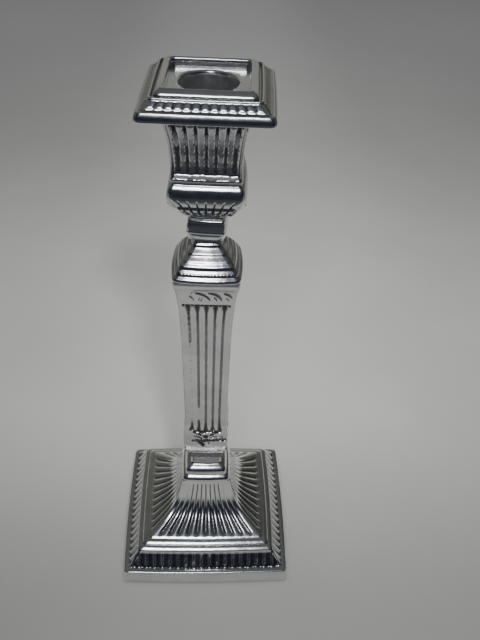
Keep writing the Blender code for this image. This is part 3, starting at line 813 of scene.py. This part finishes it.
class Nodes:
    """Short way to lay out the nodes of a material or a world."""

    def __init__(self, owner, shader):
        owner.use_nodes = True
        self.owner = owner
        self.tree = owner.node_tree
        self.shader = self.tree.nodes[shader]

    def node(self, kind, inputs=None, **settings):
        """Add a node; each input is given an output to link or a value."""
        made = self.tree.nodes.new(kind)
        for key, value in settings.items():
            setattr(made, key, value)
        for key, value in (inputs or {}).items():
            if isinstance(value, bpy.types.NodeSocket):
                self.tree.links.new(value, made.inputs[key])
            else:
                made.inputs[key].default_value = value
        return made

    def link(self, output, name):
        """Feed one input of the shader."""
        self.tree.links.new(output, self.shader.inputs[name])

    def noise(self, where, scale, detail=3.0, roughness=0.55):
        """Noise from 0 to 1."""
        made = self.node("ShaderNodeTexNoise", {"Vector": where, "Scale": scale, "Detail": detail,
                                                "Roughness": roughness})
        return made.outputs["Fac"]

    def ramp(self, value, start, end, low_value=0.0, high_value=1.0):
        """Rise smoothly from low_value at start to high_value at end."""
        made = self.node("ShaderNodeMapRange", {"Value": value, "From Min": start,
                                                "From Max": end, "To Min": low_value,
                                                "To Max": high_value},
                         interpolation_type="SMOOTHSTEP")
        return made.outputs["Result"]

    def math(self, operation, first, second=0.0):
        """One operation on one or two values."""
        return self.node("ShaderNodeMath", {0: first, 1: second}, operation=operation).outputs[0]

    def mix_colour(self, factor, first, second):
        """Mix two colours, each an output or three numbers."""
        inputs = {"Factor": factor}
        for index, value in zip(MIX_COLOURS, (first, second)):
            inputs[index] = value if isinstance(value, bpy.types.NodeSocket) else (*value, 1.0)
        return self.node("ShaderNodeMix", inputs, data_type="RGBA").outputs[2]

    def mix_value(self, factor, first, second):
        """Mix two numbers, each an output or a value."""
        inputs = {"Factor": factor, MIX_VALUES[0]: first, MIX_VALUES[1]: second}
        return self.node("ShaderNodeMix", inputs, data_type="FLOAT").outputs[0]


def material_nodes(name):
    """Nodes of a new material."""
    return Nodes(bpy.data.materials.new(name), "Principled BSDF")


BRIGHT_METAL = (0.82, 0.82, 0.825)
DULL_METAL = (0.73, 0.73, 0.735)
# Dark colours of the recess mark: real patina in the cuts, and painted shade in the necks, under
# the bowl and on the pan's margin.
TARNISH_AND_SHADE = (0.13, 0.13, 0.135)
OXIDE_AND_SHADE = (0.040, 0.040, 0.044)


def polished_metal(name, shine, shift):
    """Polished white metal: bright on the high places, tarnished and oxidised black in the cuts,
    and darkened the same way as painted shade in the necks, under the bowl and on the pan's
    margin.

    shine is the roughness of the clean metal, and shift moves the pattern of wear, in m.
    """
    n = material_nodes(name)
    place = n.node("ShaderNodeTexCoord").outputs["Object"]
    place = n.node("ShaderNodeMapping", {"Vector": place, "Location": (shift, shift * 2, 0)})
    place = place.outputs["Vector"]
    recess = n.node("ShaderNodeAttribute", attribute_name="recess").outputs["Fac"]
    ragged = n.noise(place, 900.0, 4.0, 0.65)
    edge = n.math("SUBTRACT", ragged, 0.5)
    # Real patina and painted shade both come through the recess mark.
    oxide_and_shade = n.ramp(n.math("ADD", recess, n.math("MULTIPLY", edge, 0.5)), 0.55, 0.98)
    tarnish_and_shade = n.ramp(n.math("ADD", recess, n.math("MULTIPLY", edge, 0.2)), 0.12, 0.75, 0.0, 0.92)
    blotch = n.ramp(n.noise(place, 70.0), 0.35, 0.7)
    tone = n.mix_colour(blotch, BRIGHT_METAL, DULL_METAL)
    tone = n.mix_colour(tarnish_and_shade, tone, TARNISH_AND_SHADE)
    n.link(n.mix_colour(oxide_and_shade, tone, OXIDE_AND_SHADE), "Base Color")
    n.link(n.mix_value(oxide_and_shade, 1.0, 0.25), "Metallic")
    gloss = n.ramp(n.noise(place, 260.0, 5.0, 0.6), 0.3, 0.75, shine * 0.85, shine * 1.25)
    n.link(n.mix_value(oxide_and_shade, gloss, 0.55), "Roughness")
    # Fine scratches, and grain in the oxide.
    lines = n.node("ShaderNodeMapping", {"Vector": place, "Rotation": (0.2, 0.1, 0.5),
                                         "Scale": (1.0, 14.0, 14.0)}).outputs["Vector"]
    scratches = n.ramp(n.noise(lines, 320.0, 2.0, 0.7), 0.56, 0.74)
    grain = n.math("MULTIPLY", ragged, n.math("ADD", oxide_and_shade, 0.04))
    height = n.math("SUBTRACT", grain, n.math("MULTIPLY", scratches, 0.05))
    bump = n.node("ShaderNodeBump", {"Height": height, "Strength": 0.22, "Distance": 0.00015})
    n.link(bump.outputs["Normal"], "Normal")
    return n.owner


def steel(name):
    """Zinc-plated steel with a faint turned grain."""
    n = material_nodes(name)
    place = n.node("ShaderNodeTexCoord").outputs["Object"]
    cloud = n.noise(place, 180.0, 3.0)
    n.link(n.mix_colour(cloud, (0.50, 0.51, 0.53), (0.64, 0.64, 0.62)), "Base Color")
    n.shader.inputs["Metallic"].default_value = 1.0
    n.link(n.ramp(n.noise(place, 900.0, 3.0), 0.3, 0.7, 0.25, 0.45), "Roughness")
    fine = n.node("ShaderNodeMapping", {"Vector": place, "Scale": (1.0, 1.0, 22.0)})
    bump = n.node("ShaderNodeBump", {"Height": n.noise(fine.outputs["Vector"], 400.0),
                                     "Strength": 0.25, "Distance": 0.0001})
    n.link(bump.outputs["Normal"], "Normal")
    return n.owner


def felt(name):
    """Green baize: matted fibres with a soft sheen."""
    n = material_nodes(name)
    place = n.node("ShaderNodeTexCoord").outputs["Object"]
    fibre = n.noise(place, 2600.0, 4.0, 0.7)
    cloud = n.noise(place, 120.0, 3.0)
    tone = n.mix_colour(fibre, (0.012, 0.06, 0.03), (0.045, 0.17, 0.09))
    n.link(n.mix_colour(n.ramp(cloud, 0.3, 0.7, 0.0, 0.35), tone, (0.03, 0.10, 0.06)),
           "Base Color")
    n.link(n.ramp(fibre, 0.2, 0.8, 0.8, 1.0), "Roughness")
    n.shader.inputs["Sheen Weight"].default_value = 0.4
    bump = n.node("ShaderNodeBump", {"Height": fibre, "Strength": 0.6, "Distance": 0.0003})
    n.link(bump.outputs["Normal"], "Normal")
    return n.owner


def dress(item, material):
    """Put one material on an object in place of whatever it has."""
    item.data.materials.clear()
    item.data.materials.append(material)


# ---- Stage -----------------------------------------------------------

CARD_HEIGHT = 0.001              # m by which the cards lie above the floor


def level_corners(x_start, x_end, y_start, y_end, z=CARD_HEIGHT):
    """Corners of a level rectangle."""
    return [(x_start, y_start, z), (x_end, y_start, z), (x_end, y_end, z), (x_start, y_end, z)]


def flat_cloth(name, corners):
    """One flat face with a cloth material of its own: the object and the material's nodes."""
    mesh = bpy.data.meshes.new(name)
    mesh.from_pydata(corners, [], [range(len(corners))])
    n = material_nodes(name + "_cloth")
    mesh.materials.append(n.owner)
    return add_object(name, mesh), n


FLOOR_HALF = 6.0
LIGHT_POOL_CENTRE = (0.06, 0.20, 0.0)
# Painted light on the cloth along Y: where each change starts and ends, and its two factors.
FLOOR_LIGHT_STEPS = ((0.10, -0.08, 1.0, 0.58), (0.16, 0.50, 1.06, 0.86), (0.48, 0.95, 1.0, 1.42))


def make_floor():
    """Plain pale cloth-coloured floor, wide enough to fill the view, with a painted pool of light
    round its middle.
    """
    half = FLOOR_HALF
    floor, n = flat_cloth("floor", level_corners(-half, half, -half, half, 0.0))
    place = n.node("ShaderNodeTexCoord").outputs["Object"]
    cloud = n.ramp(n.noise(place, 9.0), 0.3, 0.7)
    cloth = n.mix_colour(cloud, (0.74, 0.75, 0.70), (0.79, 0.80, 0.75))
    # Painted pool of light: the cloth dims away from the pool's centre, towards the sides and
    # along Y.
    away = n.node("ShaderNodeVectorMath", {0: place, 1: LIGHT_POOL_CENTRE}, operation="DISTANCE")
    dim = n.ramp(away.outputs["Value"], 0.02, 0.75)
    shade = n.mix_colour(dim, cloth, (0.38, 0.38, 0.375))
    way = n.node("ShaderNodeSeparateXYZ", {0: place})
    across = n.math("ABSOLUTE", n.math("SUBTRACT", way.outputs["X"], 0.030))
    level = n.ramp(across, 0.03, 0.19, 1.0, 0.82)
    for start, end, before, after in FLOOR_LIGHT_STEPS:
        step = n.ramp(way.outputs["Y"], start, end, before, after)
        level = n.math("MULTIPLY", level, step)
    lit = n.node("ShaderNodeVectorMath", {0: shade, "Scale": level}, operation="SCALE")
    n.link(lit.outputs[0], "Base Color")
    n.shader.inputs["Roughness"].default_value = 0.95
    n.shader.inputs["Specular IOR Level"].default_value = 0.1


def area_light(name, place, aim, width, height, power, mirrored=True):
    """Add a rectangular soft light aimed at a point, which the metal mirrors or not."""
    data = bpy.data.lights.new(name, "AREA")
    data.shape = "RECTANGLE"
    data.size = width
    data.size_y = height
    data.energy = power
    item = add_object(name, data)
    item.location = place
    item.rotation_euler = (Vector(aim) - Vector(place)).to_track_quat("-Z", "Y").to_euler()
    item.visible_glossy = mirrored


def painted_reflection_card(name, corners, colour, near_colour=None, fade=None):
    """Add a painted reflection: a flat card at the floor that only reflections see, to shape what
    the metal mirrors.

    With near_colour, the card starts in that colour and fades to colour between two values of Y.
    """
    card, n = flat_cloth(name, corners)
    place = n.node("ShaderNodeTexCoord").outputs["Object"]
    # The card's colour is a painted reflection of the room's light and shade.
    dim = tuple(0.8 * part for part in colour)
    cloth = n.mix_colour(n.noise(place, 6.0), dim, colour)
    if near_colour is not None:
        along = n.node("ShaderNodeSeparateXYZ", {0: place}).outputs["Y"]
        cloth = n.mix_colour(n.ramp(along, *fade), cloth, near_colour)
    n.link(cloth, "Base Color")
    n.shader.inputs["Roughness"].default_value = 1.0
    card.visible_camera = False
    card.visible_diffuse = False
    card.visible_shadow = False
    card.visible_transmission = False


def make_cards():
    """Painted reflections: in front, pale cloth close by and painted shade far off, and cloth
    dimmed by painted shade beyond the other sides.
    """
    far, front, near, back = 5.0, -0.10, 0.55, 0.9
    painted_reflection_card("front_card", level_corners(-far, far, -far, front), (0.052, 0.056, 0.070),
                near_colour=(0.53, 0.53, 0.51), fade=(-0.34, -0.15))
    for side in (-1, 1):
        painted_reflection_card(f"side_card_{side + 1}", level_corners(side * near, side * far, front, far),
                    (0.26, 0.265, 0.245))
    painted_reflection_card("back_card", level_corners(-near, near, back, far), (0.34, 0.345, 0.32))


KEY_PLACE = (-0.13, -1.05, 1.20)
FILL_PLACE = (0.18, -0.95, 1.15)
PANEL_PLACE = (0.0, 0.35, 2.0)
STEM_AIM = (0.0, 0.0, 0.12)


def make_lights():
    """A glowing key high in front, and two soft lights that the metal doesn't mirror."""
    area_light("key", KEY_PLACE, STEM_AIM, 0.40, 0.25, 4.0)
    area_light("fill", FILL_PLACE, STEM_AIM, 0.12, 0.12, 6.5, mirrored=False)
    area_light("panel", PANEL_PLACE, (0, 0.1, 0), 2.0, 1.4, 17.0, mirrored=False)


def make_room():
    """Dark room: navy in front, dim at the sides, pale behind, with a halo round the key."""
    world = bpy.data.worlds.new("room")
    bpy.context.scene.world = world
    n = Nodes(world, "Background")
    way = n.node("ShaderNodeTexCoord").outputs["Generated"]
    x, y, z = n.node("ShaderNodeSeparateXYZ", {0: way}).outputs
    aside = n.mix_colour(n.ramp(x, 0.3, -0.3), (0.058, 0.060, 0.050), (0.100, 0.103, 0.088))
    room = n.mix_colour(n.ramp(y, -0.5, 0.3), (0.018, 0.021, 0.034), aside)
    room = n.mix_colour(n.ramp(y, 0.6, 0.92), room, (0.26, 0.26, 0.24))
    room = n.mix_colour(n.ramp(z, 0.60, 0.85), room, (0.100, 0.108, 0.112))
    # The halo is bluish far out and nearly white close in.
    toward_key = (Vector(KEY_PLACE) - Vector(STEM_AIM)).normalized()
    along = n.node("ShaderNodeVectorMath", {0: way, 1: toward_key}, operation="DOT_PRODUCT")
    nearness = along.outputs["Value"]
    room = n.mix_colour(n.ramp(nearness, 0.86, 0.97), room, (0.10, 0.12, 0.165))
    room = n.mix_colour(n.ramp(nearness, 0.965, 0.993), room, (0.60, 0.56, 0.60))
    n.link(room, "Color")


# ---- Camera ----------------------------------------------------------

CAMERA_PLACE = (-0.0003, -0.2812, 0.3691)
CAMERA_RIGHT = (0.99899, -0.03097, 0.03267)
CAMERA_UP = (-0.00649, 0.61901, 0.78535)
CAMERA_LENS = 42.32


def make_camera():
    """Camera above and in front, looking down the stem."""
    data = bpy.data.cameras.new("camera")
    data.sensor_width = 36.0
    data.lens = CAMERA_LENS
    data.clip_start = 0.01
    camera = add_object("camera", data)
    right = Vector(CAMERA_RIGHT).normalized()
    back = right.cross(Vector(CAMERA_UP)).normalized()
    up = back.cross(right)
    turn = Matrix((right, up, back)).transposed()
    camera.matrix_world = Matrix.Translation(CAMERA_PLACE) @ turn.to_4x4()
    bpy.context.scene.camera = camera


# ---- Assembly --------------------------------------------------------

SHIFT_PER_CASTING = 0.013        # m by which the pattern of wear moves from piece to piece
STEEL_NODES = ("tie_rod", "upper_nut", "upper_washer", "foot_nut", "foot_washer",
               "foot_lock_washer", "base_plate")


def place_piece(item, node, body, material):
    """Let a detailed piece stand for its CAD node."""
    dress(item, material)
    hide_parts(node)
    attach(item, body)


def main():
    """Make the camera, the pieces with their finishes, and the stage."""
    make_camera()
    castings = [
        (make_foot, "foot", STICK, "polished_casting", 0.17),
        (make_collar, "plinth_collar", STICK, "polished_casting", 0.16),
        (make_column, "column", STICK, "polished_casting", 0.20),
        (make_shoulder, "shoulder_cap", STICK, "polished_casting", 0.16),
        (make_knop, "knop", STICK, "polished_casting", 0.15),
        (make_capital, "capital", STICK, "patinated_casting", 0.19),
        (make_pan, "drip_pan", NOZZLE, "polished_casting", 0.16),
        (make_frame_ring, "well_frame", NOZZLE, "polished_casting", 0.18),
        (make_cup, "candle_cup", NOZZLE, "spun_cup", 0.46),
        (make_flange, "nozzle_flange", NOZZLE, "spun_cup", 0.2),
    ]
    for number, (maker, node, body, slot, shine) in enumerate(castings):
        material = polished_metal(node + "_finish", shine, SHIFT_PER_CASTING * number)
        place_piece(maker(), node, body, material)
    for node in STEEL_NODES:
        dress(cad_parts[node], steel(node + "_finish"))
    dress(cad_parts["felt_pad"], felt("felt_pad_finish"))
    make_floor()
    make_cards()
    make_lights()
    make_room()


main()
